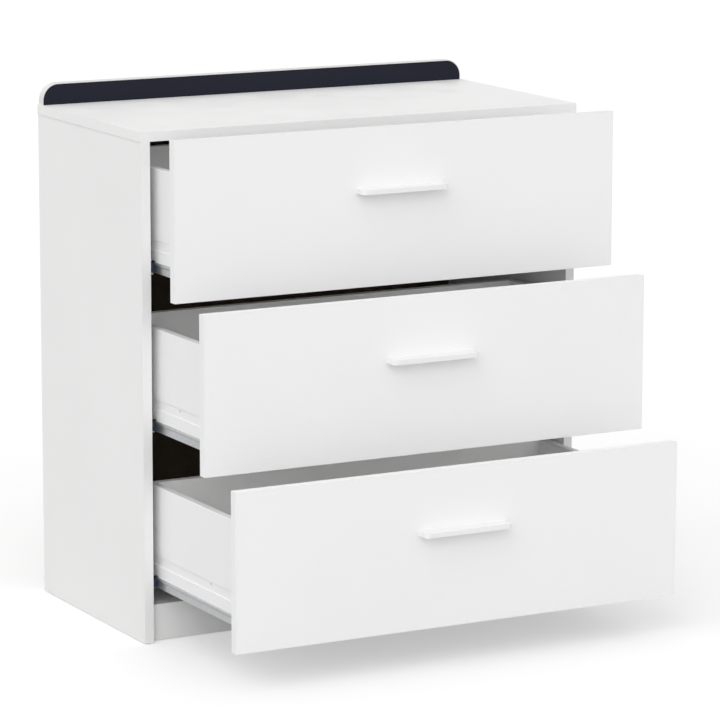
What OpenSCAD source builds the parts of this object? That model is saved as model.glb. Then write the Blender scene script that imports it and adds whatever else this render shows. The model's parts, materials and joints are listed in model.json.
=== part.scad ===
// Chest of three drawers in white board, with an upstand along the back of its top.
// Each drawer has hollow steel sides and rides on a pair of full-extension runners.
// X runs to the right, Y to the back and Z up. The origin is on the floor, under the
// middle of the carcass. Every distance is in millimetres.

/* [Carcass] */
// Width over the two side panels
body_w = 920; // [800:10:1000]
// Depth of the side panels
body_d = 460; // [450:5:520]
// Height of the side panels' top edges above the floor
side_h = 938; // [920:1:980]
// Thickness of the boards
board_t = 18; // [17:0.5:19]
// How far the top panel stands out over each side panel
top_overhang = 1.5; // [0:0.5:4]
// Thickness of the back panel
back_t = 3; // [2.5:0.5:4]
// Height of the plinth's top edge above the floor
plinth_h = 70; // [60:1:90]
// How far the plinth stands back from the side panels' front edges
plinth_setback = 15; // [8:1:40]
// Thickness of the glides under the side panels
glide_t = 1.5; // [1:0.5:3]

/* [Upstand] */
// Height of the upstand above the top panel
upstand_h = 41; // [34:1:60]
// Radius of the upstand's two top corners
upstand_r = 33; // [10:1:33]
// How far each end of the upstand stands in from the side panel's outer face
upstand_inset = 2; // [0:1:10]
// Thickness of the dark facing on the upstand's front
facing_t = 1; // [0.8:0.1:2]
// Width of the white border left round the facing
facing_border = 2; // [0:0.5:4]

/* [Drawers] */
// How far the top drawer stands open
open_top = 118; // [20:1:380]
// How far the middle drawer stands open
open_middle = 235; // [20:1:380]
// How far the bottom drawer stands open
open_bottom = 358; // [20:1:380]
// Gap between two drawer fronts
front_gap = 2; // [1.5:0.5:5]
// How far each end of a front stands in from the side panel's outer face
front_inset = 0.5; // [0:0.5:2]
// Thickness of a hollow steel drawer side
drawer_side_t = 15; // [14:0.5:16]
// Height of a drawer side
drawer_side_h = 173; // [140:1:180]
// Clear depth inside a drawer
drawer_clear_d = 398; // [398:1:400]
// Thickness of the drawer's base and back
drawer_board_t = 16; // [14:1:18]

/* [Handles] */
// Width of a handle
handle_w = 180; // [150:1:220]
// How far a handle stands out from its front
handle_depth = 28; // [22:1:36]
// Height of a handle's lip
handle_h = 9; // [8.5:0.5:12]
// Height of a handle's top face above the lower edge of its front
handle_top = 184; // [150:1:230]
// Distance between a handle's two screws
handle_screw_pitch = 128; // [96:32:128]

/* [Hidden] */
$fn = 64;
TINY = 0.01;

// Carcass faces
inner_x = body_w / 2 - board_t;
y_front = -body_d / 2;
y_rear = body_d / 2;
top_z = side_h + board_t;
panel_mid_x = body_w / 2 - board_t / 2;
rebate_w = board_t / 2;
plinth_y = y_front + plinth_setback;
bottom_y = plinth_y + board_t;
bottom_panel_d = y_rear - back_t - bottom_y;

// Drawer fronts, counted from the top: 0 top, 1 middle, 2 bottom
front_w = body_w - 2 * front_inset;
front_h = (top_z - plinth_h - 2 * front_gap) / 3;
opening = [open_top, open_middle, open_bottom];
function front_z(k) = plinth_h + (2 - k) * (front_h + front_gap);
function box_y(k) = y_front - opening[k];

// Heights above a front's lower edge
side_v = 52;
groove_v = 74;
groove_h = 19;
groove_depth = 2;
rail_v = 32;
shelf_v = 24;

// Distances from a side panel's inner face towards the middle of the chest
side_u = 15;
sheet_t = 1.2;
flange_w = 14;
edge_fold = 1;
groove_screw_d = 4;
groove_screw_step = 152;
groove_screw_v = groove_v + 13.4;
base_x = inner_x - side_u - drawer_side_t;
base_v = side_v + sheet_t;
back_v = base_v + drawer_board_t;
drawer_len = drawer_clear_d + drawer_board_t;

// Runner members
rail_len = 400;
rail_h = side_v - rail_v;
rail_t = 1.5;
rail_channel_h = 12.5;
bead_r = 3;
cabinet_rail_y = y_front + 4;
cabinet_rail_h = 36;
shelf_w = 26;
track_u = 21;
track_w = 3;
track_h = 10.7;
middle_len = 390;
middle_u = 17.3;
middle_v = 33;
middle_w = 10.4;
middle_h = 10.7;
middle_t = 1.3;
roller_d = 5;
roller_len = 5.8;
roller_v = 39;
roller_axle_d = 2;
roller_steps = [15, 130, 260, 375];
runner_screw_steps = [33, 161, 321];
runner_screw_v = 51;
runner_screw_d = 5;
runner_screw_len = 12;
runner_screw_head_d = 9;
runner_screw_head_t = 2;
runner_screw_hole_d = 6.6;
shelf_start = 40;
rivet_d = 4;
rivet_h = 0.5;
rivet_v = 8.5;
rivet_steps = [40, 175, 330];
lug_w = 6;
lug_h = 6;
rolled_line_h = 2;
rolled_line_depth = 1;
guide_start = 7;
guide_len = 10;
guide_h = 11;
guide_gap = 1;
hook_t = 3;
hook_h = 5;
recess_depth = 2;
recess_wall = 2.5;

// Fittings
dowel_d = 8;
dowel_len = 30;
dowel_short = 12;
hole_play = 0.5;
fit_gap = 0.1;
cam_d = 15;
cam_h = 12.5;
cam_reach = 34;
cam_bolt_d = 6;
cam_thread_d = 5;
cam_thread_len = 11;
cam_y = 190;
low_cam_ys = [-cam_y + 20, cam_y];
dowel_y = 140;
upstand_dowel_xs = [-300, 0, 300];
top_cam_z = side_h - cam_reach;
glide_d = 16;
glide_y = body_d / 2 - 9;
glide_nail_d = 2;
glide_nail_len = 12;
nail_d = 1.6;
nail_len = 20;
nail_head_d = 4;
nail_head_t = 0.8;
nail_play = 0.2;
nail_zs = [120 : 130 : 900];
nail_xs = [-330 : 165 : 330];
handle_wall = 3.5;
handle_corner_r = 8;
handle_screw_d = 4;
handle_screw_v = handle_top - handle_h / 2;
screw_xs = [-handle_screw_pitch / 2, handle_screw_pitch / 2];
handle_screw_head_d = 8;
handle_screw_head_t = 2.4;
handle_screw_reach = 9;
boss_w = 11;
boss_depth = 12;
bracket_v = 100;
bracket_h = 100;
bracket_t = 2;
tail_v = 110;
tail_h = 80;
tail_t = 1.6;
tail_len = 43;
bracket_screw_u = 8;
bracket_screw_vs = [108, 192];
bracket_screw_d = 4;
bracket_screw_len = 12;
bracket_screw_head_d = 7;
bracket_screw_head_t = 1.5;

// ---- Helpers ----

// A box given by its lowest corner and its size
module box(low, size) translate(low) cube(size);

// A cylinder along X that starts at a point
module rod_x(start, d, len) translate(start) rotate([0, 90, 0]) cylinder(d = d, h = len);

// A cylinder along Y that starts at a point
module rod_y(start, d, len) translate(start) rotate([-90, 0, 0]) cylinder(d = d, h = len);

// A cylinder along Z that starts at a point
module rod_z(start, d, len) translate(start) cylinder(d = d, h = len);

// Draws its children for the left side, or mirrored for the right side
module on_side(right) mirror([right ? 1 : 0, 0, 0]) children();

// Draws its children once for each side
module both_sides() for (right = [false, true]) on_side(right) children();

// Moves runner coordinates into place: u from the left panel's inner face, v above front k's lower edge
module at_runner(k, y) translate([-inner_x, y, front_z(k)]) children();

// An outline in u and v, drawn out along Y
module along_y(len, points) translate([0, len, 0]) rotate([90, 0, 0]) linear_extrude(len) polygon(points);

// ---- Joining holes of the carcass, drawn for the left side ----

// Vertical dowels between a side panel and the top panel
module top_dowels(d, extra) for (y = [-dowel_y, dowel_y])
    rod_z([-panel_mid_x, y, side_h - dowel_len + dowel_short - extra], d, dowel_len + 2 * extra);

// Level dowels between a side panel and the bottom panel, and the plinth
module low_dowels(d, extra) for (p = [[-dowel_y, plinth_h - board_t / 2], [dowel_y, plinth_h - board_t / 2],
                                      [plinth_y + board_t / 2, plinth_h / 2]])
    rod_x([-inner_x - dowel_short - extra, p[0], p[1]], d, dowel_len + 2 * extra);

// Cams let into the side panel's inner face near its top
module top_cams(d, h) for (y = [-cam_y, cam_y]) rod_x([-inner_x - h, y, top_cam_z], d, h);

// Cams let into the bottom panel's underside
module low_cams(d, h) for (y = low_cam_ys)
    rod_z([-inner_x + cam_reach, y, plinth_h - board_t], d, h);

// Shanks of the bolts that the top cams grip
module top_bolt_shanks(d) for (y = [-cam_y, cam_y])
    rod_z([-panel_mid_x, y, top_cam_z + cam_d / 2], d, cam_reach - cam_d / 2);

// Shanks of the bolts that the low cams grip
module low_bolt_shanks(d) for (y = low_cam_ys)
    rod_x([-inner_x, y, plinth_h - board_t / 2], d, cam_reach - cam_d / 2);

// Dowels between the top panel and the upstand
module upstand_dowels(d, extra) for (x = upstand_dowel_xs)
    rod_z([x, y_rear - board_t / 2 + facing_t / 2, top_z - dowel_short - extra], d, dowel_len + 2 * extra);

// ---- Carcass ----

module side_panel(right) color("#e6e6e4") on_side(right) difference() {
    box([-body_w / 2, y_front, glide_t], [board_t, body_d, side_h - glide_t]);
    box([-inner_x - rebate_w, y_rear - back_t, -1], [rebate_w + 1, back_t + 1, side_h + 2]);
    top_dowels(dowel_d, hole_play);
    low_dowels(dowel_d, hole_play);
    top_cams(cam_d, cam_h + hole_play);
    top_bolt_shanks(cam_bolt_d + 1);
}

module top_panel() color("#ededeb") difference() {
    box([-body_w / 2 - top_overhang, y_front, side_h], [body_w + 2 * top_overhang, body_d, board_t]);
    both_sides() top_dowels(dowel_d, hole_play);
    upstand_dowels(dowel_d, hole_play);
}

module bottom_panel() color("#e6e6e4") difference() {
    box([-inner_x, bottom_y, plinth_h - board_t], [2 * inner_x, bottom_panel_d, board_t]);
    both_sides() {
        low_dowels(dowel_d, hole_play);
        low_cams(cam_d, cam_h + hole_play);
        low_bolt_shanks(cam_bolt_d + 1);
    }
}

module plinth() color("#dcdcda") difference() {
    box([-inner_x, plinth_y, glide_t], [2 * inner_x, board_t, plinth_h - glide_t]);
    both_sides() low_dowels(dowel_d, hole_play);
}

module back_panel() color("#1f1c17") difference() {
    box([-inner_x - rebate_w, y_rear - back_t, plinth_h - board_t],
        [2 * (inner_x + rebate_w), back_t, side_h - plinth_h + board_t]);
    nails(nail_play);
}

// A plate that stands on the top panel, with two rounded top corners, set in from the upstand's outline
module upstand_plate(y, t, border) intersection() {
    half = body_w / 2 - upstand_inset - border;
    h = upstand_h - border;
    r = upstand_r - border;
    box([-half, y, top_z], [2 * half, t, h]);
    union() {
        box([-half, y, top_z - 1], [2 * half, t, h - r + 1]);
        box([-half + r, y, top_z], [2 * (half - r), t, h]);
        for (x = [-half + r, half - r]) rod_y([x, y, top_z + h - r], 2 * r, t);
    }
}

module upstand_board() color("#e6e6e4") difference() {
    upstand_plate(y_rear - board_t + facing_t, board_t - facing_t, 0);
    upstand_dowels(dowel_d, hole_play);
}

module upstand_facing() color("#242632") upstand_plate(y_rear - board_t, facing_t, facing_border);

module glides() color("#b8b8b4") for (x = [-panel_mid_x, panel_mid_x], y = [-glide_y, glide_y]) {
    rod_z([x, y, 0], glide_d, glide_t);
    rod_z([x, y, glide_t - TINY], glide_nail_d, glide_nail_len);
}

module dowels() color("#c9a877") {
    both_sides() top_dowels(dowel_d - 2 * fit_gap, 0);
    both_sides() low_dowels(dowel_d - 2 * fit_gap, 0);
    upstand_dowels(dowel_d - 2 * fit_gap, 0);
}

module cams() color("#a9abad") both_sides() {
    top_cams(cam_d - 2 * fit_gap, cam_h);
    low_cams(cam_d - 2 * fit_gap, cam_h);
}

module cam_bolts() color("#a9abad") both_sides() {
    top_bolt_shanks(cam_bolt_d);
    low_bolt_shanks(cam_bolt_d);
    for (y = [-cam_y, cam_y]) rod_z([-panel_mid_x, y, side_h - TINY], cam_thread_d, cam_thread_len);
    for (y = low_cam_ys)
        rod_x([-inner_x - cam_thread_len, y, plinth_h - board_t / 2], cam_thread_d, cam_thread_len + TINY);
}

// Nails round the back panel, with flush heads
module nails(grow) {
    spots = [for (x = [-1, 1], z = nail_zs) [x * (inner_x + rebate_w / 2), z],
             for (x = nail_xs) [x, plinth_h - board_t / 2]];
    for (s = spots) {
        rod_y([s[0], y_rear - nail_head_t, s[1]], nail_head_d + grow, nail_head_t + grow);
        rod_y([s[0], y_rear - nail_len, s[1]], nail_d + grow, nail_len - nail_head_t + TINY);
    }
}

module back_nails() color("#8f9193") nails(0);

// ---- Runners ----

module cabinet_rail(right, k) color("#b7babb") on_side(right) at_runner(k, cabinet_rail_y) difference() {
    union() {
        box([0, 0, shelf_v], [rail_t, rail_len, cabinet_rail_h]);
        box([0, shelf_start, shelf_v], [shelf_w, rail_len - shelf_start, rail_t]);
        box([track_u, shelf_start, shelf_v], [track_w, rail_len - shelf_start, rail_t + track_h]);
    }
    for (y = runner_screw_steps) rod_x([-1, y, runner_screw_v], runner_screw_hole_d, rail_t + 2);
}

module middle_rail(right, k) color("#c3c6c7") on_side(right)
    at_runner(k, cabinet_rail_y + 2 - opening[k] / 2) difference() {
        box([middle_u, 0, middle_v], [middle_w, middle_len, middle_h]);
        box([middle_u + middle_t, -1, middle_v - 1],
            [middle_w - 2 * middle_t, middle_len + 2, middle_h + 1 - middle_t]);
        for (y = roller_steps) rod_x([middle_u - 1, y, roller_v], roller_axle_d + 0.2, middle_w + 2);
    }

module runner_rollers(k) color("#e9e6da") both_sides() at_runner(k, cabinet_rail_y + 2 - opening[k] / 2)
    for (y = roller_steps) {
        rod_x([middle_u + (middle_w - roller_len) / 2, y, roller_v], roller_d, roller_len);
        rod_x([middle_u, y, roller_v], roller_axle_d, middle_w);
    }

module drawer_rail(right, k) color("#bfc2c3") on_side(right) at_runner(k, box_y(k) + 1) difference() {
    union() {
        box([side_u, 0, rail_v], [drawer_side_t, rail_len, rail_h]);
        rod_y([side_u, 0, side_v - bead_r], 2 * bead_r, rail_len);
        for (y = rivet_steps) rod_x([side_u - rivet_h, y, rail_v + rivet_v], rivet_d, rivet_h + TINY);
        // Lug under the front end
        box([side_u, 0, rail_v - lug_h], [rail_t, lug_w, lug_h + TINY]);
    }
    // Channel that the middle rail runs in
    box([side_u + rail_t, -1, rail_v - 1], [drawer_side_t - 2 * rail_t, rail_len + 2, rail_channel_h + 1]);
    // Hollow over the channel
    box([side_u + rail_t, -1, rail_v + rail_channel_h + rail_t],
        [drawer_side_t - 2 * rail_t, rail_len + 2, rail_h - rail_channel_h - 2 * rail_t]);
    // Rolled line under the bead
    box([side_u - bead_r - 1, -1, rail_v + rail_channel_h - rolled_line_h / 4],
        [bead_r + 1 + rolled_line_depth, rail_len + 2, rolled_line_h]);
}

// Plastic guides at the front ends of the cabinet rails
module runner_guides() color("#1b2230") for (k = [0 : 2]) both_sides()
    at_runner(k, cabinet_rail_y + guide_start) {
    bead_v = side_v - bead_r;
    foot_v = rail_v + 2;
    // Foot on the cabinet rail's wall, with a recess in its front end
    difference() {
        box([rail_t, 0, foot_v], [side_u - rail_t - guide_gap, guide_len, guide_h]);
        box([rail_t + recess_wall, -1, foot_v + 2],
            [side_u - rail_t - guide_gap - 2 * recess_wall, recess_depth + 1, guide_h - 4]);
    }
    // Hook round the bead
    difference() {
        union() {
            rod_y([side_u, 0, bead_v], 2 * (bead_r + hook_t), guide_len);
            box([rail_t, 0, foot_v + guide_h - TINY], [side_u - bead_r - 2 - rail_t, guide_len, hook_h]);
        }
        rod_y([side_u, -1, bead_v], 2 * (bead_r + guide_gap), guide_len + 2);
        box([side_u - guide_gap, -1, rail_v], [2 * side_u, guide_len + 2, 2 * rail_h]);
    }
}

module runner_screws() color("#9fa2a4") for (k = [0 : 2]) both_sides() at_runner(k, cabinet_rail_y)
    for (y = runner_screw_steps) {
        rod_x([rail_t, y, runner_screw_v], runner_screw_head_d, runner_screw_head_t);
        rod_x([-runner_screw_len, y, runner_screw_v], runner_screw_d, runner_screw_len + rail_t + TINY);
    }

// ---- Drawers ----

module drawer_front(k) color("#e9e9e9") difference() {
    box([-front_w / 2, box_y(k) - board_t, front_z(k)], [front_w, board_t, front_h]);
    for (x = screw_xs)
        rod_y([x, box_y(k) - board_t - 1, front_z(k) + handle_screw_v], handle_screw_d + 1, board_t + 2);
}

// Plan of a handle: square at the front panel, with two rounded corners in front
module handle_plan(inset, z, h) {
    half = handle_w / 2 - inset;
    r = handle_corner_r - inset;
    box([-half, -handle_depth + inset + r, z], [2 * half, handle_depth - 2 * inset - r, h]);
    box([-half + r, -handle_depth + inset, z], [2 * (half - r), handle_depth - 2 * inset, h]);
    for (x = [-half + r, half - r]) rod_z([x, -handle_depth + inset + r, z], 2 * r, h);
}

module handle(k) color("#e7e7e7") translate([0, box_y(k) - board_t, front_z(k) + handle_top - handle_h])
    difference() {
        union() {
            difference() {
                handle_plan(0, 0, handle_h);
                handle_plan(handle_wall, -1, handle_h - handle_wall + 1);
            }
            for (x = screw_xs) box([x - boss_w / 2, -boss_depth, 0], [boss_w, boss_depth, handle_h]);
        }
        for (x = screw_xs)
            rod_y([x, -boss_depth + 2, handle_h / 2], handle_screw_d + 2 * fit_gap, boss_depth);
    }

module handle_screws(k) color("#a9abad") translate([0, box_y(k), front_z(k) + handle_screw_v])
    for (x = screw_xs) {
        rod_y([x, 0, 0], handle_screw_head_d, handle_screw_head_t);
        rod_y([x, -board_t - handle_screw_reach, 0], handle_screw_d, board_t + handle_screw_reach + TINY);
    }

// Folded steel side: hollow, with a groove along its outer face and a flange under the base
module drawer_side(right, k) color("#e6e6e6") on_side(right) at_runner(k, box_y(k)) difference() {
    u = side_u;
    w = side_u + drawer_side_t;
    top = side_v + drawer_side_h;
    g = groove_depth;
    groove_top = groove_v + groove_h;
    e = edge_fold;
    along_y(drawer_len, [[u, side_v], [u, groove_v], [u + g, groove_v + e], [u + g, groove_top - e],
        [u, groove_top], [u, top - e], [u + e, top], [w - e, top], [w, top - e], [w, base_v],
        [w + flange_w, base_v], [w + flange_w, side_v]]);
    a = u + sheet_t;
    b = w - sheet_t;
    translate([0, -1, 0]) along_y(drawer_len + 2, [[a, base_v], [a, groove_v - e / 2],
        [a + g, groove_v + e / 2], [a + g, groove_top - e / 2], [a, groove_top + e / 2],
        [a, top - sheet_t], [b, top - sheet_t], [b, base_v]]);
    // Screw hole in the groove
    rod_x([u - 1, groove_screw_step, groove_screw_v], groove_screw_d, groove_depth + sheet_t + 2);
}

module drawer_base(k) color("#d9d9d7")
    box([-base_x, box_y(k), front_z(k) + base_v], [2 * base_x, drawer_len, drawer_board_t]);

module drawer_back(k) color("#d9d9d7")
    box([-base_x, box_y(k) + drawer_clear_d, front_z(k) + back_v],
        [2 * base_x, drawer_board_t, side_v + drawer_side_h - back_v]);

// Brackets inside the hollow sides that hold the front, with their screws
module front_fixings(k) color("#b7babb") both_sides() at_runner(k, box_y(k)) {
    near_u = side_u + sheet_t + fit_gap;
    far_u = side_u + drawer_side_t - sheet_t;
    screw_u = side_u + bracket_screw_u;
    box([near_u, 0, bracket_v], [far_u - near_u, bracket_t, bracket_h]);
    box([far_u - tail_t, bracket_t - TINY, tail_v], [tail_t, tail_len, tail_h]);
    for (v = bracket_screw_vs) {
        rod_y([screw_u, bracket_t, v], bracket_screw_head_d, bracket_screw_head_t);
        rod_y([screw_u, -bracket_screw_len, v], bracket_screw_d, bracket_screw_len + bracket_t + TINY);
    }
}

// ---- The chest ----

side_panel(false);  // side_panel_left
side_panel(true);  // side_panel_right
top_panel();
bottom_panel();
plinth();
back_panel();
upstand_board();
upstand_facing();
glides();
dowels();
cams();
cam_bolts();
back_nails();
runner_screws();
runner_guides();

cabinet_rail(false, 0);  // cabinet_rail_left_top
cabinet_rail(true, 0);  // cabinet_rail_right_top
middle_rail(false, 0);  // middle_rail_left_top
middle_rail(true, 0);  // middle_rail_right_top
runner_rollers(0);  // runner_rollers_top
drawer_front(0);  // drawer_front_top
handle(0);  // handle_top
handle_screws(0);  // handle_screws_top
front_fixings(0);  // front_fixings_top
drawer_side(false, 0);  // drawer_side_left_top
drawer_side(true, 0);  // drawer_side_right_top
drawer_back(0);  // drawer_back_top
drawer_base(0);  // drawer_base_top
drawer_rail(false, 0);  // drawer_rail_left_top
drawer_rail(true, 0);  // drawer_rail_right_top

cabinet_rail(false, 1);  // cabinet_rail_left_middle
cabinet_rail(true, 1);  // cabinet_rail_right_middle
middle_rail(false, 1);  // middle_rail_left_middle
middle_rail(true, 1);  // middle_rail_right_middle
runner_rollers(1);  // runner_rollers_middle
drawer_front(1);  // drawer_front_middle
handle(1);  // handle_middle
handle_screws(1);  // handle_screws_middle
front_fixings(1);  // front_fixings_middle
drawer_side(false, 1);  // drawer_side_left_middle
drawer_side(true, 1);  // drawer_side_right_middle
drawer_back(1);  // drawer_back_middle
drawer_base(1);  // drawer_base_middle
drawer_rail(false, 1);  // drawer_rail_left_middle
drawer_rail(true, 1);  // drawer_rail_right_middle

cabinet_rail(false, 2);  // cabinet_rail_left_bottom
cabinet_rail(true, 2);  // cabinet_rail_right_bottom
middle_rail(false, 2);  // middle_rail_left_bottom
middle_rail(true, 2);  // middle_rail_right_bottom
runner_rollers(2);  // runner_rollers_bottom
drawer_front(2);  // drawer_front_bottom
handle(2);  // handle_bottom
handle_screws(2);  // handle_screws_bottom
front_fixings(2);  // front_fixings_bottom
drawer_side(false, 2);  // drawer_side_left_bottom
drawer_side(true, 2);  // drawer_side_right_bottom
drawer_back(2);  // drawer_back_bottom
drawer_base(2);  // drawer_base_bottom
drawer_rail(false, 2);  // drawer_rail_left_bottom
drawer_rail(true, 2);  // drawer_rail_right_bottom
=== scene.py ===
import json
import math

import bmesh
import bpy
from mathutils import Matrix, Vector


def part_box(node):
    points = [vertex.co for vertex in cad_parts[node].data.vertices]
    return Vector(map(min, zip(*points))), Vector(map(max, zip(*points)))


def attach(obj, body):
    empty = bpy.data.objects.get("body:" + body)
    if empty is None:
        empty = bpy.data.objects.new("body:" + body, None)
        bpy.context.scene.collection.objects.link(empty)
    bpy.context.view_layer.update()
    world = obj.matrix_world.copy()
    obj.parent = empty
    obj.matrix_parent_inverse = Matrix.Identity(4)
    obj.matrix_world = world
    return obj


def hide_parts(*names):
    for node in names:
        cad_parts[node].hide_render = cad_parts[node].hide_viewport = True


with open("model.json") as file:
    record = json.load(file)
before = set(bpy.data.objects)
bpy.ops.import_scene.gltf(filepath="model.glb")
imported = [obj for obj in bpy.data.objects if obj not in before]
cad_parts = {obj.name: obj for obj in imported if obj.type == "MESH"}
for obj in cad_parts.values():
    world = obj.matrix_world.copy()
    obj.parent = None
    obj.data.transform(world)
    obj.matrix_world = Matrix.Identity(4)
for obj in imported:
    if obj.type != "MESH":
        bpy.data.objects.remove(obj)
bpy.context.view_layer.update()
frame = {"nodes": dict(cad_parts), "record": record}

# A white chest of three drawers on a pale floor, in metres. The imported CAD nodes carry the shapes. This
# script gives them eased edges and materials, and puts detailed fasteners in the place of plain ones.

NODES = frame["nodes"]
SLOT_OF = {part["node"]: part["material_slot"] for part in frame["record"]["subparts"]}
MM = 0.001

# Camera
CAMERA_PLACE = (-3.469, -6.6435, 1.894)
CAMERA_YAW = math.radians(-28.347)
CAMERA_PITCH = math.radians(10.852)
CAMERA_ROLL = math.radians(-0.103)
CAMERA_LENS = 197.05
CAMERA_SENSOR = 36.0
CAMERA_SIGHT = 200.0

# Light and floor. The world and the floor's glow are brighter to the camera than as light. Each sun has
# the direction it comes from, its strength and its angular size in degrees.
WHITE = (1.0, 1.0, 1.0, 1.0)
WORLD_STRENGTH = 0.56
BACKDROP_STRENGTH = 1.0
FLOOR_SIZE = 80.0
FLOOR_CELLS = 8
FLOOR_COLOUR = (0.6, 0.6, 0.6, 1.0)
FLOOR_GLOW = 0.41
SUNS = {
    "fill": ((-0.46, -0.87, 0.3), 0.23 * math.pi, 50.0),
    "fill_right": ((0.55, -0.8, 0.35), 0.10 * math.pi, 50.0),
    "sky_left": ((-0.8, -0.4, 1.0), 0.335 * math.pi, 60.0),
    "sky_behind": ((0.0, 0.8, 1.0), 0.13 * math.pi, 60.0),
}


# ---- Shader graphs ----

# Sockets of the Mix node when it mixes colours
MIX_FACTOR, MIX_A, MIX_B, MIX_RESULT = 0, 6, 7, 2

# Bevel samples of the mask for painted edge highlights, and the cosines between rounded and flat normals on
# an edge and off it
EDGE_SAMPLES = 4
EDGE_TURN = (0.85, 0.99)


class Graph:
    """One material's nodes. Every pattern is in the object's own coordinates, in metres."""

    def __init__(self, name, **shader):
        self.material = bpy.data.materials.new(name)
        self.material.use_nodes = True
        self.tree = self.material.node_tree
        self.tree.nodes.clear()
        output = self.tree.nodes.new("ShaderNodeOutputMaterial")
        self.shader = self.tree.nodes.new("ShaderNodeBsdfPrincipled")
        self.tree.links.new(self.shader.outputs["BSDF"], output.inputs["Surface"])
        self.place = self.tree.nodes.new("ShaderNodeTexCoord").outputs["Object"]
        for socket, value in shader.items():
            self.shader.inputs[socket.replace("_", " ")].default_value = value

    def add(self, kind, inputs=(), **settings):
        """A node with its inputs linked or set, by name or number. Gives back its first output."""
        node = self.tree.nodes.new("ShaderNode" + kind)
        for key, value in settings.items():
            setattr(node, key, value)
        for key, value in dict(inputs).items():
            if isinstance(value, bpy.types.NodeSocket):
                self.tree.links.new(value, node.inputs[key])
            else:
                node.inputs[key].default_value = value
        return node.outputs[0]

    def set(self, socket, value):
        """Links a pattern to one of the shader's sockets."""
        self.tree.links.new(value, self.shader.inputs[socket])

    def calculate(self, operation, a, b=0.0):
        """One step of arithmetic on two values."""
        return self.add("Math", {0: a, 1: b}, operation=operation)

    def stretched(self, scale):
        """The coordinates, scaled along each axis."""
        return self.add("Mapping", {"Vector": self.place, "Scale": scale})

    def noise(self, scale, detail=2.0, rough=0.5):
        """Even noise; scale is about the number of patches in a metre."""
        inputs = {"Vector": self.place, "Scale": scale, "Detail": detail, "Roughness": rough}
        return self.add("TexNoise", inputs)

    def streaks(self, scale, detail, rough=0.5):
        """Noise with its own scale along each axis, for fibres, grain and rolling lines."""
        inputs = {"Vector": self.stretched(scale), "Scale": 1.0, "Detail": detail, "Roughness": rough}
        return self.add("TexNoise", inputs)

    def cells(self, scale):
        """Rounded cells, for leather grain and zinc spangle."""
        return self.add("TexVoronoi", {"Vector": self.place, "Scale": scale, "Randomness": 1.0})

    def remap(self, value, low, high, start=0.3, end=0.7):
        """value from start..end moved to low..high."""
        inputs = {"Value": value, "From Min": start, "From Max": end, "To Min": low, "To Max": high}
        return self.add("MapRange", inputs)

    def mix(self, factor, a, b):
        """A colour between a and b."""
        node = self.tree.nodes.new("ShaderNodeMix")
        node.data_type = "RGBA"
        for index, value in ((MIX_FACTOR, factor), (MIX_A, a), (MIX_B, b)):
            if isinstance(value, bpy.types.NodeSocket):
                self.tree.links.new(value, node.inputs[index])
            else:
                node.inputs[index].default_value = (*value, 1.0)
        return node.outputs[MIX_RESULT]

    def bump(self, height, distance, strength, under=None):
        """A normal bent by a height pattern; under is another bump below it."""
        inputs = {"Height": height, "Distance": distance, "Strength": strength}
        if under is not None:
            inputs["Normal"] = under
        return self.add("Bump", inputs)

    def edge_highlight_mask(self, radius):
        """1 on the edges of the shape and 0 on its flats. The materials paint highlights along it."""
        rounded = self.add("Bevel", {"Radius": radius}, samples=EDGE_SAMPLES)
        normal = self.tree.nodes.new("ShaderNodeNewGeometry").outputs["Normal"]
        facing = self.tree.nodes.new("ShaderNodeVectorMath")
        facing.operation = "DOT_PRODUCT"
        self.tree.links.new(rounded, facing.inputs[0])
        self.tree.links.new(normal, facing.inputs[1])
        return self.remap(facing.outputs["Value"], 1.0, 0.0, *EDGE_TURN)


def tint(colour, share):
    """A colour made lighter or darker by a share of itself."""
    return tuple(min(1.0, c * (1.0 + share)) for c in colour)


# ---- Materials ----

# The seam's distance from a board's edge, and its width from middle to rim
SEAM_INSET = 0.9 * MM
SEAM_WIDTH = 0.16 * MM


def seam_mask(graph, node):
    """A fine line round a board's two faces, where the edge band meets them."""
    low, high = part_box(node)
    size = high - low
    thin_axis = min(range(3), key=lambda axis: size[axis])
    split = graph.tree.nodes.new("ShaderNodeSeparateXYZ")
    graph.tree.links.new(graph.place, split.inputs[0])
    nearest = None
    for axis in range(3):
        if axis == thin_axis:
            continue
        for edge, sign in ((low[axis], 1.0), (high[axis], -1.0)):
            away = graph.calculate("MULTIPLY", graph.calculate("SUBTRACT", split.outputs[axis], edge), sign)
            nearest = away if nearest is None else graph.calculate("MINIMUM", nearest, away)
    off = graph.calculate("ABSOLUTE", graph.calculate("SUBTRACT", nearest, SEAM_INSET))
    return graph.remap(off, 1.0, 0.0, 0.0, SEAM_WIDTH)


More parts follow.
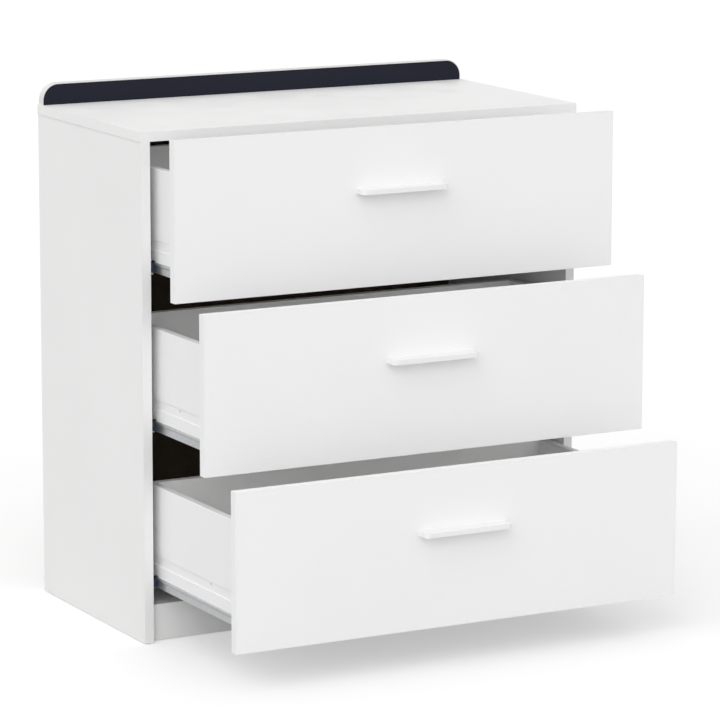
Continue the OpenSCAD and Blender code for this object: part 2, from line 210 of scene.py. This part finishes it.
def melamine(name, colour, node):
    """Melamine-faced chipboard: a fine stipple, faint clouding, an edge band with a seam round it, and a
    painted highlight that makes the edges slightly lighter.
    """
    graph = Graph(name, Specular_IOR_Level=0.42)
    cloud = graph.remap(graph.noise(2.6, 3.0), 0.0, 1.0)
    base = graph.mix(cloud, tint(colour, -0.012), tint(colour, 0.012))
    speck = graph.remap(graph.noise(1500.0, 1.0), 0.0, 0.35, 0.62, 0.72)
    base = graph.mix(speck, base, tint(colour, -0.05))
    # Painted highlight: the edges are made slightly lighter.
    edge = graph.edge_highlight_mask(0.6 * MM)
    base = graph.mix(graph.calculate("MULTIPLY", edge, 0.3), base, tint(colour, 0.02))
    gloss = graph.remap(graph.noise(14.0, 3.0), 0.37, 0.49)
    stipple = graph.noise(720.0, 3.0, 0.6)
    normal = graph.bump(stipple, 0.05 * MM, 0.22)
    orange_peel = graph.noise(110.0, 2.0)
    normal = graph.bump(orange_peel, 0.05 * MM, 0.25, normal)
    line = seam_mask(graph, node)
    base = graph.mix(graph.calculate("MULTIPLY", line, 0.35), base, tint(colour, -0.45))
    normal = graph.bump(graph.calculate("SUBTRACT", 1.0, line), 0.08 * MM, 0.5, normal)
    graph.set("Base Color", base)
    graph.set("Roughness", gloss)
    graph.set("Normal", normal)
    return graph.material


def hardboard():
    """Black-brown back panel: pressed fibres with a matt lacquer."""
    dark = (0.090, 0.070, 0.048)
    graph = Graph("dark_hardboard", Specular_IOR_Level=0.15)
    fibres = graph.streaks((900.0, 900.0, 260.0), 5.0, 0.65)
    cloud = graph.noise(7.0, 4.0)
    base = graph.mix(graph.remap(fibres, 0.0, 1.0), dark, tint(dark, 0.55))
    base = graph.mix(graph.remap(cloud, 0.0, 0.5), base, tint(dark, -0.35))
    graph.set("Base Color", base)
    graph.set("Roughness", graph.remap(cloud, 0.62, 0.8))
    graph.set("Normal", graph.bump(fibres, 0.12 * MM, 0.4))
    return graph.material


def navy_laminate():
    """Dark facing on the upstand: smooth laminate with a faint leather grain, and a painted highlight that
    makes its edges lighter.
    """
    navy = (0.0070, 0.0085, 0.0190)
    graph = Graph("navy_facing", Specular_IOR_Level=0.22)
    grain = graph.cells(620.0)
    cloud = graph.noise(5.0, 3.0)
    base = graph.mix(graph.remap(cloud, 0.0, 1.0), tint(navy, -0.08), tint(navy, 0.08))
    # Painted highlight: the edges are made a lighter navy.
    edge = graph.edge_highlight_mask(0.9 * MM)
    base = graph.mix(graph.calculate("MULTIPLY", edge, 0.5), base, tint(navy, 1.1))
    graph.set("Base Color", base)
    graph.set("Roughness", graph.remap(cloud, 0.46, 0.56))
    graph.set("Normal", graph.bump(grain, 0.06 * MM, 0.25))
    return graph.material


def powder_coat(name, colour, roughness):
    """Powder coat on metal: orange peel, patchy gloss and slightly lighter edges, which are a painted
    highlight.
    """
    graph = Graph(name, Specular_IOR_Level=0.5, Coat_Weight=0.12, Coat_Roughness=0.25)
    cloud = graph.noise(4.0, 2.0)
    base = graph.mix(graph.remap(cloud, 0.0, 1.0), tint(colour, -0.01), tint(colour, 0.012))
    # Painted highlight: the edges are made slightly lighter.
    edge = graph.edge_highlight_mask(0.8 * MM)
    base = graph.mix(graph.calculate("MULTIPLY", edge, 0.4), base, tint(colour, 0.04))
    peel = graph.noise(420.0, 2.0)
    graph.set("Base Color", base)
    graph.set("Roughness", graph.remap(graph.noise(30.0, 3.0), roughness - 0.05, roughness + 0.06))
    graph.set("Normal", graph.bump(peel, 0.08 * MM, 0.3))
    return graph.material


def zinc_plate(name, colour, along, roughness, spangle):
    """Zinc-plated steel: rolling lines along one axis, spangle and duller patches, and much brighter edges,
    which are a painted highlight.
    """
    graph = Graph(name, Metallic=1.0)
    scale = [1400.0, 1400.0, 1400.0]
    scale[along] = 18.0
    lines = graph.streaks(scale, 3.0, 0.6)
    flakes = graph.cells(spangle)
    dull = graph.noise(34.0, 3.0)
    base = graph.mix(graph.remap(flakes, 0.0, 1.0, 0.1, 0.6), tint(colour, -0.04), tint(colour, 0.04))
    base = graph.mix(graph.remap(lines, 0.0, 0.3), base, tint(colour, -0.15))
    # Painted highlight: the edges are made much brighter.
    edge = graph.edge_highlight_mask(0.7 * MM)
    base = graph.mix(graph.calculate("MULTIPLY", edge, 0.6), base, tint(colour, 0.35))
    graph.set("Base Color", base)
    graph.set("Roughness", graph.remap(dull, roughness - 0.08, roughness + 0.12))
    graph.set("Normal", graph.bump(lines, 0.03 * MM, 0.35))
    return graph.material


def moulded_plastic(name, colour, roughness, edge_highlight_share):
    """Moulded plastic: spark-eroded texture, and paler edges, which are a painted highlight."""
    graph = Graph(name, Specular_IOR_Level=0.5)
    grit = graph.noise(1600.0, 2.0)
    cloud = graph.noise(60.0, 2.0)
    base = graph.mix(graph.remap(cloud, 0.0, 1.0), tint(colour, -0.1), tint(colour, 0.12))
    # Painted highlight: the edges are made paler, by the given share.
    edge = graph.edge_highlight_mask(0.6 * MM)
    base = graph.mix(graph.calculate("MULTIPLY", edge, edge_highlight_share), base, tint(colour, 0.8))
    graph.set("Base Color", base)
    graph.set("Roughness", graph.remap(cloud, roughness - 0.05, roughness + 0.08))
    graph.set("Normal", graph.bump(grit, 0.05 * MM, 0.4))
    return graph.material


def beech_wood():
    """Beech: long streaks of grain and fine flecks."""
    pale, brown = (0.56, 0.37, 0.20), (0.40, 0.24, 0.12)
    graph = Graph("beech", Specular_IOR_Level=0.3)
    grain = graph.streaks((600.0, 600.0, 60.0), 4.0, 0.6)
    flecks = graph.remap(graph.streaks((1500.0, 1500.0, 240.0), 1.0), 0.0, 0.5, 0.6, 0.7)
    base = graph.mix(graph.remap(grain, 0.0, 1.0), pale, brown)
    base = graph.mix(flecks, base, tint(brown, -0.3))
    graph.set("Base Color", base)
    graph.set("Roughness", graph.remap(grain, 0.55, 0.7))
    graph.set("Normal", graph.bump(grain, 0.1 * MM, 0.4))
    return graph.material


WHITE_BOARD = (0.905, 0.905, 0.900)
WHITE_FRONT = (0.910, 0.910, 0.910)
DRAWER_BOARD = (0.930, 0.930, 0.925)
UPSTAND_BOARD = (0.78, 0.78, 0.76)
WHITE_STEEL = (0.905, 0.905, 0.905)
WHITE_HANDLE = (0.880, 0.880, 0.880)
RAIL_STEEL = (0.76, 0.77, 0.78)
FITTING_STEEL = (0.58, 0.59, 0.61)
DARK_PLASTIC = (0.016, 0.030, 0.055)
PALE_PLASTIC = (0.62, 0.61, 0.57)
ALONG_X, ALONG_Y = 0, 1

FINISH = {
    "dark_hardboard": hardboard(),
    "navy_facing": navy_laminate(),
    "white_steel": powder_coat("white_steel", WHITE_STEEL, roughness=0.38),
    "white_handle": powder_coat("white_handle", WHITE_HANDLE, roughness=0.34),
    "galvanised_steel": zinc_plate("galvanised_steel", RAIL_STEEL, ALONG_Y, roughness=0.38, spangle=90.0),
    "zinc_fittings": zinc_plate("zinc_fittings", FITTING_STEEL, ALONG_X, roughness=0.3, spangle=300.0),
    "dark_plastic": moulded_plastic("dark_plastic", DARK_PLASTIC, roughness=0.3, edge_highlight_share=0.5),
    "pale_plastic": moulded_plastic("pale_plastic", PALE_PLASTIC, roughness=0.42, edge_highlight_share=0.1),
    "beech": beech_wood(),
}
BOARD_COLOUR = {"white_board": WHITE_BOARD, "white_front": WHITE_FRONT, "drawer_board": DRAWER_BOARD}


def finish_of(node):
    """The material of one CAD node. Each board has its own, because its seams follow its edges."""
    slot = SLOT_OF[node]
    if slot not in BOARD_COLOUR:
        return FINISH[slot]
    colour = UPSTAND_BOARD if node == "upstand_board" else BOARD_COLOUR[slot]
    return melamine(f"{slot}_{node}", colour, node)


# ---- Edges ----

EDGE_WIDTH = {
    "white_board": 0.4 * MM,
    "white_front": 0.5 * MM,
    "drawer_board": 0.5 * MM,
    "dark_hardboard": 0.3 * MM,
    "navy_facing": 0.25 * MM,
    "white_steel": 0.5 * MM,
    "white_handle": 1.4 * MM,
    "galvanised_steel": 0.3 * MM,
    "zinc_fittings": 0.25 * MM,
    "dark_plastic": 0.4 * MM,
    "pale_plastic": 0.4 * MM,
    "beech": 0.4 * MM,
}
EDGE_SEGMENTS = 3
SAME_POINT = 0.002 * MM
SAME_PLANE = math.radians(0.5)
SHARP_EDGE = math.radians(40.0)


def ease_edges(obj, width):
    """Rounds a CAD node's sharp edges with modifiers, which leave its mesh alone."""
    weld = obj.modifiers.new("weld", "WELD")
    weld.merge_threshold = SAME_POINT
    flats = obj.modifiers.new("flats", "DECIMATE")
    flats.decimate_type = "DISSOLVE"
    flats.angle_limit = SAME_PLANE
    bevel = obj.modifiers.new("bevel", "BEVEL")
    bevel.width = width
    bevel.segments = EDGE_SEGMENTS
    bevel.limit_method = "ANGLE"
    bevel.angle_limit = SHARP_EDGE
    bevel.use_clamp_overlap = True
    bevel.harden_normals = True
    normals = obj.modifiers.new("normals", "WEIGHTED_NORMAL")
    normals.keep_sharp = True


for name, obj in NODES.items():
    obj.data.materials.clear()
    obj.data.materials.append(finish_of(name))
    ease_edges(obj, EDGE_WIDTH[SLOT_OF[name]])


# ---- Fasteners ----

def corners(node):
    """A CAD node's lowest and highest corners, in millimetres."""
    low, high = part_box(node)
    return low / MM, high / MM


# The boards that the fittings sit in, in millimetres
PANEL_LOW, PANEL_HIGH = corners("side_panel_right")
PLINTH_LOW, PLINTH_HIGH = corners("plinth")
UPSTAND_LOW, UPSTAND_HIGH = corners("upstand_board")
INNER_X = PANEL_LOW.x
BOARD = PANEL_HIGH.x - INNER_X
PANEL_MID_X = INNER_X + BOARD / 2
SIDE_TOP = PANEL_HIGH.z
Y_REAR = PANEL_HIGH.y
BOTTOM_Z = corners("bottom_panel")[0].z
BOTTOM_MID_Z = BOTTOM_Z + BOARD / 2
BACK_EDGE_X = corners("back_panel")[1].x

LEVELS = ("top", "middle", "bottom")
SIDES = (-1.0, 1.0)

# Fittings, in millimetres. A cam's reach is from the joint to the cam's middle.
CAM_YS = (-190.0, 190.0)
LOW_CAM_YS = (-170.0, 190.0)
CAM_REACH = 34.0
CAM_HOLE_R = 7.5
CAM_R = 7.4
CAM_H = 12.5
BOLT_THREAD = 11.0
DOWEL_R = 3.9
DOWEL_LENGTH = 30.0
DOWEL_SHORT = 12.0
DOWEL_YS = (-140.0, 140.0)
UPSTAND_DOWEL_XS = (-300.0, 0.0, 300.0)
NAIL_ZS = [120.0 + 130.0 * step for step in range(7)]
NAIL_XS = [-330.0 + 165.0 * step for step in range(5)]
RAIL_SHEET = 1.5
RAIL_SCREW_STEPS = (33.0, 161.0, 321.0)
RAIL_SCREW_DROP = 9.0
HANDLE_SCREW_XS = (-64.0, 64.0)

# Outlines of turned parts as (radius, height) pairs in millimetres, top first
NAIL = [(0.5, 0.0), (1.2, -0.1), (1.8, -0.35), (2.0, -0.6), (1.9, -0.8), (0.85, -0.82), (0.8, -1.2),
        (0.8, -18.0), (0.1, -20.0)]
GLIDE = [(0.2, 13.4), (1.0, 11.6), (1.0, 1.5), (7.2, 1.5), (7.8, 1.25), (8.0, 0.9), (7.7, 0.35),
         (6.9, 0.0), (3.0, 0.0), (2.6, 0.3), (0.3, 0.4)]
NAIL_SIDES = 16
GLIDE_SIDES = 40
BOLT_SIDES = 28
CREASE = math.radians(38.0)


class Fitting:
    """Small parts gathered into one mesh. Each is built along +Z in millimetres, then placed."""

    def __init__(self):
        self.verts = []
        self.faces = []

    def add(self, part, place, direction):
        """Puts a part's origin at place, with its +Z along direction."""
        verts, faces = part
        turn = Vector(direction).to_track_quat("Z", "Y").to_matrix()
        first = len(self.verts)
        self.verts += [(turn @ Vector(v) + Vector(place)) * MM for v in verts]
        self.faces += [[first + i for i in face] for face in faces]

    def make(self, node, material, body):
        """The piece that stands for a CAD node."""
        mesh = bpy.data.meshes.new(f"{node}_detailed")
        mesh.from_pydata(self.verts, [], self.faces)
        build = bmesh.new()
        build.from_mesh(mesh)
        bmesh.ops.recalc_face_normals(build, faces=build.faces)
        build.to_mesh(mesh)
        build.free()
        mesh.shade_smooth()
        mesh.set_sharp_from_angle(angle=CREASE)
        mesh.materials.append(FINISH[material])
        piece = bpy.data.objects.new(f"{node}_detailed", mesh)
        bpy.context.scene.collection.objects.link(piece)
        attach(piece, body)
        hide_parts(node)


def ring_angles(count):
    """The angles of count points round a circle."""
    return [2.0 * math.pi * i / count for i in range(count)]


def flat_ring(radius, z, angles):
    """Points on a circle, at height z."""
    return [(radius * math.cos(angle), radius * math.sin(angle), z) for angle in angles]


def join_rings(verts, faces, rings):
    """Adds rings with equal numbers of points, joins each to the one before and closes the last."""
    count = len(rings[0])
    for index, ring in enumerate(rings):
        start = len(verts)
        verts += ring
        if index:
            for i in range(count):
                j = (i + 1) % count
                faces.append((start - count + i, start - count + j, start + j, start + i))
    faces.append(tuple(range(len(verts) - count, len(verts))))


def closed(rings):
    """A shape of rings, closed at both ends."""
    verts, faces = [], []
    join_rings(verts, faces, rings)
    faces.append(tuple(reversed(range(len(rings[0])))))
    return verts, faces


def turned(outline, count):
    """A lathe part with count sides."""
    angles = ring_angles(count)
    return closed([flat_ring(radius, z, angles) for radius, z in outline])


def thread_rings(crest, root, pitch, top, bottom, angles):
    """Rings of a screw thread from top down to bottom, where it tapers."""
    rings_per_turn = 6.0
    ridge_slope = 3.0
    point_share = 0.45
    point_turns = 2.2
    steps = max(2, round((top - bottom) / pitch * rings_per_turn))
    rings = []
    for step in range(steps + 1):
        z = top + (bottom - top) * step / steps
        taper = min(1.0, point_share + (z - bottom) / (point_turns * pitch))
        ring = []
        for angle in angles:
            phase = (z / pitch + angle / (2.0 * math.pi)) % 1.0
            ridge = max(0.0, 1.0 - abs(phase - 0.5) * ridge_slope)
            radius = (root + (crest - root) * ridge) * taper
            ring.append((radius * math.cos(angle), radius * math.sin(angle), z))
        rings.append(ring)
    return rings


def cross_recess(head_r, dome, arm, depth):
    """A square grid of points across a head with a cross sunk into it, its faces and its border.

    The cross reaches half each way. Its arms are 2 * slot wide, with a sloping lip, and rise outwards."""
    half = arm * head_r
    slot = 0.30 * half
    lip = 0.10 * half
    rise = 0.45
    lines = [-half, lip - half, -slot, lip - slot, slot - lip, slot, half - lip, half]
    size = len(lines)
    last = size - 1
    verts = []
    for y in lines:
        for x in lines:
            radius = math.hypot(x, y)
            along_y = abs(x) <= slot - lip and abs(y) <= half - lip
            along_x = abs(y) <= slot - lip and abs(x) <= half - lip
            sunk = depth * (1.0 - rise * radius / half) if along_x or along_y else 0.0
            verts.append((x, y, dome(radius) - sunk))
    first_corners = [row * size + column for row in range(last) for column in range(last)]
    faces = [(a, a + 1, a + size + 1, a + size) for a in first_corners]
    border = [*range(size)]
    border += [row * size + last for row in range(1, size)]
    border += [last * size + column for column in reversed(range(last))]
    border += [row * size for row in reversed(range(1, last))]
    return verts, faces, border


def screw(head_r, head_h, crown=0.35, arm=0.62, sink=0.62, shank=None):
    """A head with a cross recess that stands on z = 0, over a shank that goes down.

    crown, arm and sink are the dome's fall, the cross's reach and its depth, as shares of the head's size.
    shank is its radius, its plain length, its whole length and the thread's pitch."""
    dome_power = 2.4
    outward = (0.4, 0.75, 0.93, 1.0)
    rim_h = 0.12 * head_h
    foot_r = 0.97 * head_r

    def dome(radius):
        return head_h * (1.0 - crown * (radius / head_r) ** dome_power)

    verts, faces, border = cross_recess(head_r, dome, arm, sink * head_h)
    angles = [math.atan2(verts[i][1], verts[i][0]) for i in border]
    rings = []
    for share in outward:
        ring = []
        for i, angle in zip(border, angles):
            x = verts[i][0] * (1.0 - share) + head_r * math.cos(angle) * share
            y = verts[i][1] * (1.0 - share) + head_r * math.sin(angle) * share
            ring.append((x, y, dome(math.hypot(x, y))))
        rings.append(ring)
    rings.append(flat_ring(head_r, rim_h, angles))
    rings.append(flat_ring(foot_r, 0.0, angles))
    if shank is not None:
        shank_r, plain, reach, pitch = shank
        root_r = 0.72 * shank_r
        rings.append(flat_ring(shank_r, 0.0, angles))
        rings.append(flat_ring(shank_r, -plain - 0.2, angles))
        rings += thread_rings(shank_r, root_r, pitch, -plain - 0.3, -reach, angles)
    first = len(verts)
    join_rings(verts, faces, rings)
    count = len(border)
    for i in range(count):
        j = (i + 1) % count
        faces.append((border[i], border[j], first + j, first + i))
    return verts, faces


def dowel(radius, length):
    """A fluted dowel with chamfered ends, from z = 0 up."""
    flutes = 12
    flute_depth = 0.09
    chamfer = 1.2
    end_share = 0.82
    rings = []
    for z, share in ((length, end_share), (length - chamfer, 1.0), (chamfer, 1.0), (0.0, end_share)):
        ring = []
        for angle in ring_angles(4 * flutes):
            r = radius * share * (1.0 - flute_depth / 2 + flute_depth / 2 * math.cos(flutes * angle))
            ring.append((r * math.cos(angle), r * math.sin(angle), z))
        rings.append(ring)
    return closed(rings)


def cam_bolt(length, thread):
    """A bolt whose necked head a cam grips. The collar is at z = 0 and the thread goes up."""
    angles = ring_angles(BOLT_SIDES)
    neck = [(1.6, length), (2.9, length - 0.8), (3.0, length - 2.6), (1.9, length - 3.6),
            (1.9, length - 6.5), (3.0, length - 8.0), (3.0, 0.9), (3.0, 0.0), (2.5, -0.05)]
    rings = [flat_ring(radius, z, angles) for radius, z in neck]
    rings += thread_rings(crest=2.5, root=1.75, pitch=1.6, top=0.0, bottom=-thread, angles=angles)
    verts, faces = closed(rings)
    return [(x, y, -z) for x, y, z in verts], faces


def add_runner_screws():
    """Three screws hold each cabinet rail to its side panel."""
    group = Fitting()
    part = screw(head_r=4.5, head_h=2.0, shank=(2.5, 0.0, 13.5, 1.8))
    for level in LEVELS:
        low, high = corners(f"cabinet_rail_right_{level}")
        for side in SIDES:
            for step in RAIL_SCREW_STEPS:
                place = (side * (INNER_X - RAIL_SHEET), low.y + step, high.z - RAIL_SCREW_DROP)
                group.add(part, place, (-side, 0.0, 0.0))
    group.make("runner_screws", "zinc_fittings", "carcass")


def add_handle_screws(level):
    """Two screws come through each front into its handle."""
    group = Fitting()
    part = screw(head_r=4.0, head_h=2.4, shank=(2.0, 12.0, 27.0, 0.7))
    handle_low, handle_high = corners(f"handle_{level}")
    inside_y = corners(f"drawer_front_{level}")[1].y
    for x in HANDLE_SCREW_XS:
        group.add(part, (x, inside_y, (handle_low.z + handle_high.z) / 2), (0.0, 1.0, 0.0))
    group.make(f"handle_screws_{level}", "zinc_fittings", f"drawer_{level}")


def add_cams():
    """Cams in the side panels pull down the top, and cams under the bottom panel pull in the sides."""
    group = Fitting()
    part = screw(head_r=CAM_R, head_h=CAM_H, crown=0.02, arm=0.55, sink=0.25)
    for side in SIDES:
        for y in CAM_YS:
            group.add(part, (side * (INNER_X + CAM_H), y, SIDE_TOP - CAM_REACH), (-side, 0.0, 0.0))
        for y in LOW_CAM_YS:
            group.add(part, (side * (INNER_X - CAM_REACH), y, BOTTOM_Z + CAM_H), (0.0, 0.0, -1.0))
    group.make("cams", "zinc_fittings", "carcass")


def add_cam_bolts():
    """Each bolt is screwed into the other board of its joint and ends in the cam."""
    group = Fitting()
    part = cam_bolt(CAM_REACH - CAM_HOLE_R, BOLT_THREAD)
    for side in SIDES:
        for y in CAM_YS:
            group.add(part, (side * PANEL_MID_X, y, SIDE_TOP), (0.0, 0.0, 1.0))
        for y in LOW_CAM_YS:
            group.add(part, (side * INNER_X, y, BOTTOM_MID_Z), (side, 0.0, 0.0))
    group.make("cam_bolts", "zinc_fittings", "carcass")


def add_dowels():
    """Dowels in the side panels' tops, the bottom panel's and the plinth's ends, and under the upstand."""
    group = Fitting()
    part = dowel(DOWEL_R, DOWEL_LENGTH)
    plinth_y = (PLINTH_LOW.y + PLINTH_HIGH.y) / 2
    upstand_y = (UPSTAND_LOW.y + UPSTAND_HIGH.y) / 2
    for side in SIDES:
        end_x = side * (INNER_X + DOWEL_SHORT)
        for y in DOWEL_YS:
            group.add(part, (side * PANEL_MID_X, y, SIDE_TOP - DOWEL_LENGTH + DOWEL_SHORT), (0.0, 0.0, 1.0))
            group.add(part, (end_x, y, BOTTOM_MID_Z), (-side, 0.0, 0.0))
        group.add(part, (end_x, plinth_y, PLINTH_HIGH.z / 2), (-side, 0.0, 0.0))
    for x in UPSTAND_DOWEL_XS:
        group.add(part, (x, upstand_y, UPSTAND_LOW.z - DOWEL_SHORT), (0.0, 0.0, 1.0))
    group.make("dowels", "beech", "carcass")


def add_back_nails():
    """Nails round the back panel's edges, into the side panels and the bottom panel."""
    group = Fitting()
    part = turned(NAIL, NAIL_SIDES)
    for side in SIDES:
        for z in NAIL_ZS:
            group.add(part, (side * (INNER_X + BACK_EDGE_X) / 2, Y_REAR, z), (0.0, 1.0, 0.0))
    for x in NAIL_XS:
        group.add(part, (x, Y_REAR, BOTTOM_MID_Z), (0.0, 1.0, 0.0))
    group.make("back_nails", "zinc_fittings", "carcass")


def add_glides():
    """Four nail-in glides under the side panels' ends."""
    group = Fitting()
    part = turned(GLIDE, GLIDE_SIDES)
    for x in (-PANEL_MID_X, PANEL_MID_X):
        for y in (PANEL_LOW.y + BOARD / 2, PANEL_HIGH.y - BOARD / 2):
            group.add(part, (x, y, 0.0), (0.0, 0.0, 1.0))
    group.make("glides", "pale_plastic", "carcass")


add_runner_screws()
for drawer in LEVELS:
    add_handle_screws(drawer)
add_cams()
add_cam_bolts()
add_dowels()
add_back_nails()
add_glides()


# ---- Stage ----

def seen_only(tree, unseen, seen):
    """The value seen where the camera looks straight at it, and unseen for the light that it gives."""
    ray = tree.nodes.new("ShaderNodeLightPath").outputs["Is Camera Ray"]
    value = tree.nodes.new("ShaderNodeMapRange")
    value.inputs["To Min"].default_value = unseen
    value.inputs["To Max"].default_value = seen
    tree.links.new(ray, value.inputs["Value"])
    return value.outputs[0]


def make_floor():
    """A matt floor that glows a little to the camera, so that it runs into the white backdrop."""
    mesh = bpy.data.meshes.new("floor")
    build = bmesh.new()
    bmesh.ops.create_grid(build, x_segments=FLOOR_CELLS, y_segments=FLOOR_CELLS, size=FLOOR_SIZE / 2)
    build.to_mesh(mesh)
    build.free()
    floor = bpy.data.objects.new("floor", mesh)
    bpy.context.scene.collection.objects.link(floor)
    graph = Graph("floor", Specular_IOR_Level=0.2)
    graph.shader.inputs["Base Color"].default_value = FLOOR_COLOUR
    graph.shader.inputs["Emission Color"].default_value = WHITE
    graph.set("Emission Strength", seen_only(graph.tree, 0.0, FLOOR_GLOW))
    graph.set("Roughness", graph.remap(graph.noise(3.0), 0.7, 0.8))
    mesh.materials.append(graph.material)


def make_world():
    """An even white sky, dimmer as light than as the backdrop that the camera sees."""
    world = bpy.data.worlds.new("studio")
    world.use_nodes = True
    tree = world.node_tree
    background = tree.nodes["Background"]
    background.inputs["Color"].default_value = WHITE
    tree.links.new(seen_only(tree, WORLD_STRENGTH, BACKDROP_STRENGTH), background.inputs["Strength"])
    bpy.context.scene.world = world


def make_sun(name, source, energy, spread):
    """A soft sun that shines from the direction source."""
    light = bpy.data.lights.new(name, "SUN")
    light.energy = energy
    light.angle = math.radians(spread)
    sun = bpy.data.objects.new(name, light)
    sun.rotation_euler = Vector(source).to_track_quat("Z", "Y").to_euler()
    bpy.context.scene.collection.objects.link(sun)


def make_camera():
    """The view's forward, right and down axes are turned by yaw, tipped down by pitch, then rolled."""
    turn = Matrix.Rotation(CAMERA_YAW, 3, "Z")
    forward = turn @ Vector((0.0, math.cos(CAMERA_PITCH), -math.sin(CAMERA_PITCH)))
    right = turn @ Vector((1.0, 0.0, 0.0))
    down = forward.cross(right)
    rolled_right = math.cos(CAMERA_ROLL) * right + math.sin(CAMERA_ROLL) * down
    rolled_down = math.cos(CAMERA_ROLL) * down - math.sin(CAMERA_ROLL) * right
    data = bpy.data.cameras.new("camera")
    data.lens = CAMERA_LENS
    data.sensor_width = CAMERA_SENSOR
    data.clip_end = CAMERA_SIGHT
    camera = bpy.data.objects.new("camera", data)
    axes = Matrix((rolled_right, -rolled_down, -forward)).transposed()
    camera.matrix_world = Matrix.Translation(CAMERA_PLACE) @ axes.to_4x4()
    bpy.context.scene.collection.objects.link(camera)
    bpy.context.scene.camera = camera


make_camera()
make_floor()
make_world()
for sun_name, sun_facts in SUNS.items():
    make_sun(sun_name, *sun_facts)
bpy.context.scene.view_settings.view_transform = "Standard"
